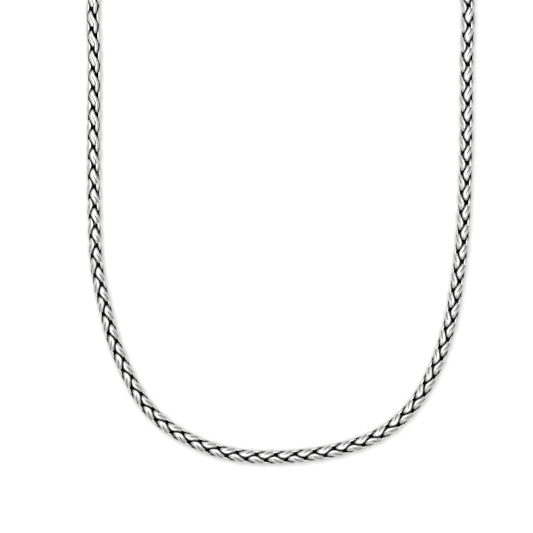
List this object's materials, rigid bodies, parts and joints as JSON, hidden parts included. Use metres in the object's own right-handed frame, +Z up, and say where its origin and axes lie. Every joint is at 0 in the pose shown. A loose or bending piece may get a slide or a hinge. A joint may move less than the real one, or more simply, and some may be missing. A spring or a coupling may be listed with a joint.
{
  "type": "wheat chain necklace",
  "caption": "Silver wheat chain: folded wire links hooked through each other in a round plaited rope, laid flat in a closed loop and joined by a plain barrel clasp",
  "frame": {"origin": "centre of the necklace's outline on the surface that it lies on", "axes": "+Z up from the surface, +Y from the bottom of the U towards the clasp, +X to the right as seen from above"},
  "size_m": [0.1388, 0.2038, 0.007],
  "materials": {
    "chain_silver": "polished silver, blackened in the recesses between the links",
    "clasp_silver": "plain polished silver"
  },
  "bodies": {
    "root": {"wheat_chain_left": "chain_silver", "wheat_chain_right": "chain_silver", "clasp": "clasp_silver"}
  },
  "joints": []
}
